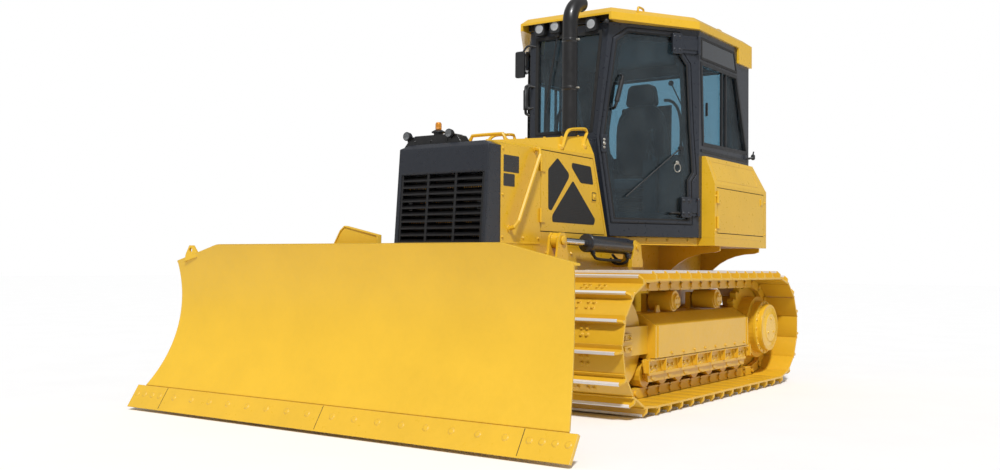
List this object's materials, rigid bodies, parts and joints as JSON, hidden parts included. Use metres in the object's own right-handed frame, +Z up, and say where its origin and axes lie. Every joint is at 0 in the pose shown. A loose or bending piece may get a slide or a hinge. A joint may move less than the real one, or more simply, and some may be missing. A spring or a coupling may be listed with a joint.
{
  "type": "crawler bulldozer",
  "caption": "Crawler bulldozer with enclosed cab, steel tracks and a curved blade that lifts, angles and tilts on hydraulic cylinders.",
  "frame": {"origin": "on the ground under the middle of the bounding box", "axes": "+X forward towards the blade, +Y to the machine's left, +Z up"},
  "size_m": [4.373, 3.148, 2.8343],
  "materials": {
    "yellow_main_frame": "gloss",
    "engine_iron": "cast",
    "yellow_deck": "gloss",
    "yellow_hood": "gloss",
    "slate_radiator_housing": "satin",
    "black_grille": "matte",
    "black_exhaust_stack": "matte",
    "slate_cab_frame": "satin",
    "yellow_cab_roof": "gloss",
    "window_glass": "clear",
    "black_seat_base": "matte",
    "seat_cloth": "woven",
    "black_operator_controls": "matte",
    "yellow_left_side_box": "gloss",
    "yellow_right_side_box": "gloss",
    "yellow_left_track": "gloss",
    "yellow_right_track": "gloss",
    "yellow_left_track_frame": "gloss",
    "yellow_right_track_frame": "gloss",
    "yellow_left_roller_bank": "gloss",
    "yellow_right_roller_bank": "gloss",
    "yellow_left_idler": "gloss",
    "yellow_right_idler": "gloss",
    "yellow_left_sprocket": "gloss",
    "yellow_right_sprocket": "gloss",
    "yellow_push_frame": "gloss",
    "yellow_blade_knuckle": "gloss",
    "yellow_blade": "gloss",
    "yellow_cutting_edge": "gloss",
    "slate_tilt_barrel": "satin",
    "rod_chrome": "polished",
    "yellow_left_hood_door": "gloss",
    "yellow_left_side_box_door": "gloss",
    "slate_left_lift_barrel": "satin",
    "slate_left_angle_barrel": "satin",
    "slate_left_cab_door": "satin",
    "yellow_right_hood_door": "gloss",
    "yellow_right_side_box_door": "gloss",
    "slate_right_lift_barrel": "satin",
    "slate_right_angle_barrel": "satin",
    "slate_right_cab_door": "satin"
  },
  "bodies": {
    "chassis": {"main_frame": "yellow_main_frame", "engine_block": "engine_iron", "deck": "yellow_deck", "hood": "yellow_hood", "radiator_housing": "slate_radiator_housing", "grille": "black_grille", "exhaust_stack": "black_exhaust_stack", "cab_frame": "slate_cab_frame", "cab_roof": "yellow_cab_roof", "windscreen": "window_glass", "rear_window": "window_glass", "left_side_window": "window_glass", "right_side_window": "window_glass", "seat_base": "black_seat_base", "seat_cushion": "seat_cloth", "seat_back": "seat_cloth", "operator_controls": "black_operator_controls", "left_side_box": "yellow_left_side_box", "right_side_box": "yellow_right_side_box", "left_track": "yellow_left_track", "right_track": "yellow_right_track", "left_track_frame": "yellow_left_track_frame", "right_track_frame": "yellow_right_track_frame", "left_roller_bank": "yellow_left_roller_bank", "right_roller_bank": "yellow_right_roller_bank", "left_idler": "yellow_left_idler", "right_idler": "yellow_right_idler", "left_sprocket": "yellow_left_sprocket", "right_sprocket": "yellow_right_sprocket"},
    "push_frame": {"push_frame": "yellow_push_frame"},
    "knuckle": {"blade_knuckle": "yellow_blade_knuckle"},
    "blade": {"blade": "yellow_blade", "cutting_edge": "yellow_cutting_edge"},
    "tilt_barrel": {"tilt_barrel": "slate_tilt_barrel"},
    "tilt_rod": {"tilt_rod": "rod_chrome"},
    "left_hood_door": {"left_hood_door": "yellow_left_hood_door"},
    "left_side_box_door": {"left_side_box_door": "yellow_left_side_box_door"},
    "left_lift_barrel": {"left_lift_barrel": "slate_left_lift_barrel"},
    "left_lift_rod": {"left_lift_rod": "rod_chrome"},
    "left_angle_barrel": {"left_angle_barrel": "slate_left_angle_barrel"},
    "left_angle_rod": {"left_angle_rod": "rod_chrome"},
    "left_cab_door": {"left_cab_door": "slate_left_cab_door", "left_door_glass": "window_glass"},
    "right_hood_door": {"right_hood_door": "yellow_right_hood_door"},
    "right_side_box_door": {"right_side_box_door": "yellow_right_side_box_door"},
    "right_lift_barrel": {"right_lift_barrel": "slate_right_lift_barrel"},
    "right_lift_rod": {"right_lift_rod": "rod_chrome"},
    "right_angle_barrel": {"right_angle_barrel": "slate_right_angle_barrel"},
    "right_angle_rod": {"right_angle_rod": "rod_chrome"},
    "right_cab_door": {"right_cab_door": "slate_right_cab_door", "right_door_glass": "window_glass"}
  },
  "joints": [
    {"name": "blade_lift", "type": "hinge", "parent": "chassis", "child": "push_frame", "pos_m": [-0.1, 0, 0.41], "axis": [0, -1, 0], "range_deg": [-12, 19]},
    {"name": "blade_angle", "type": "hinge", "parent": "push_frame", "child": "knuckle", "pos_m": [1.45, 0, 0.41], "axis": [0, 0, 1], "range_deg": [-25, 25]},
    {"name": "blade_tilt", "type": "hinge", "parent": "knuckle", "child": "blade", "pos_m": [1.745, 0, 0.41], "axis": [1, 0, 0], "range_deg": [-8, 8]},
    {"name": "left_lift_swing", "type": "hinge", "parent": "chassis", "child": "left_lift_barrel", "pos_m": [-0.56, 0.47, 1.046], "axis": [0, -1, 0], "range_deg": [-6.91, 10.94]},
    {"name": "left_lift_stroke", "type": "slide", "parent": "left_lift_barrel", "child": "left_lift_rod", "axis": [0.9998, 0, 0.0211], "range_m": [-0.2197, 0.1391]},
    {"name": "left_angle_swing", "type": "hinge", "parent": "push_frame", "child": "left_angle_barrel", "pos_m": [1, 0.44, 0.548], "axis": [0, 0, 1], "range_deg": [-8.04, 8.04]},
    {"name": "left_angle_stroke", "type": "slide", "parent": "left_angle_barrel", "child": "left_angle_rod", "axis": [0.9891, -0.147, 0], "range_m": [-0.1616, 0.1616]},
    {"name": "right_lift_swing", "type": "hinge", "parent": "chassis", "child": "right_lift_barrel", "pos_m": [-0.56, -0.47, 1.046], "axis": [0, -1, 0], "range_deg": [-6.91, 10.94]},
    {"name": "right_lift_stroke", "type": "slide", "parent": "right_lift_barrel", "child": "right_lift_rod", "axis": [0.9998, 0, 0.0211], "range_m": [-0.2197, 0.1391]},
    {"name": "right_angle_swing", "type": "hinge", "parent": "push_frame", "child": "right_angle_barrel", "pos_m": [1, -0.44, 0.548], "axis": [0, 0, 1], "range_deg": [-8.04, 8.04]},
    {"name": "right_angle_stroke", "type": "slide", "parent": "right_angle_barrel", "child": "right_angle_rod", "axis": [0.9891, 0.147, 0], "range_m": [-0.1616, 0.1616]},
    {"name": "tilt_swing", "type": "hinge", "parent": "knuckle", "child": "tilt_barrel", "pos_m": [1.72, -0.1, 0.985], "axis": [1, 0, 0], "range_deg": [-6.02, 6.02]},
    {"name": "tilt_stroke", "type": "slide", "parent": "tilt_barrel", "child": "tilt_rod", "axis": [0, 0.9923, -0.124], "range_m": [-0.0789, 0.0789]},
    {"name": "left_cab_door_hinge", "type": "hinge", "parent": "chassis", "child": "left_cab_door", "pos_m": [-1.04048, 0.77241, 1.83], "axis": [0, 0, 1], "range_deg": [0, 105]},
    {"name": "left_hood_door_hinge", "type": "hinge", "parent": "chassis", "child": "left_hood_door", "pos_m": [0.505, 0.3593, 1.39], "axis": [0, 0, -1], "range_deg": [0, 120]},
    {"name": "left_side_box_door_hinge", "type": "hinge", "parent": "chassis", "child": "left_side_box_door", "pos_m": [-1.152, 0.8793, 1.33], "axis": [0, 0, -1], "range_deg": [0, 95]},
    {"name": "right_cab_door_hinge", "type": "hinge", "parent": "chassis", "child": "right_cab_door", "pos_m": [-1.04048, -0.77241, 1.83], "axis": [0, 0, -1], "range_deg": [0, 105]},
    {"name": "right_hood_door_hinge", "type": "hinge", "parent": "chassis", "child": "right_hood_door", "pos_m": [0.505, -0.3593, 1.39], "axis": [0, 0, 1], "range_deg": [0, 120]},
    {"name": "right_side_box_door_hinge", "type": "hinge", "parent": "chassis", "child": "right_side_box_door", "pos_m": [-1.152, -0.8793, 1.33], "axis": [0, 0, 1], "range_deg": [0, 95]}
  ],
  "couplings": [
    {"joint": "left_lift_swing", "follows": "blade_lift", "ratio": 0.57509},
    {"joint": "left_lift_stroke", "follows": "blade_lift", "m_per_rad": -0.65951},
    {"joint": "left_angle_swing", "follows": "blade_angle", "ratio": 0.32113},
    {"joint": "left_angle_stroke", "follows": "blade_angle", "m_per_rad": -0.36805},
    {"joint": "right_lift_swing", "follows": "blade_lift", "ratio": 0.57509},
    {"joint": "right_lift_stroke", "follows": "blade_lift", "m_per_rad": -0.65951},
    {"joint": "right_angle_swing", "follows": "blade_angle", "ratio": 0.32113},
    {"joint": "right_angle_stroke", "follows": "blade_angle", "m_per_rad": 0.36805},
    {"joint": "tilt_swing", "follows": "blade_tilt", "ratio": 0.75087},
    {"joint": "tilt_stroke", "follows": "blade_tilt", "m_per_rad": -0.5582}
  ]
}
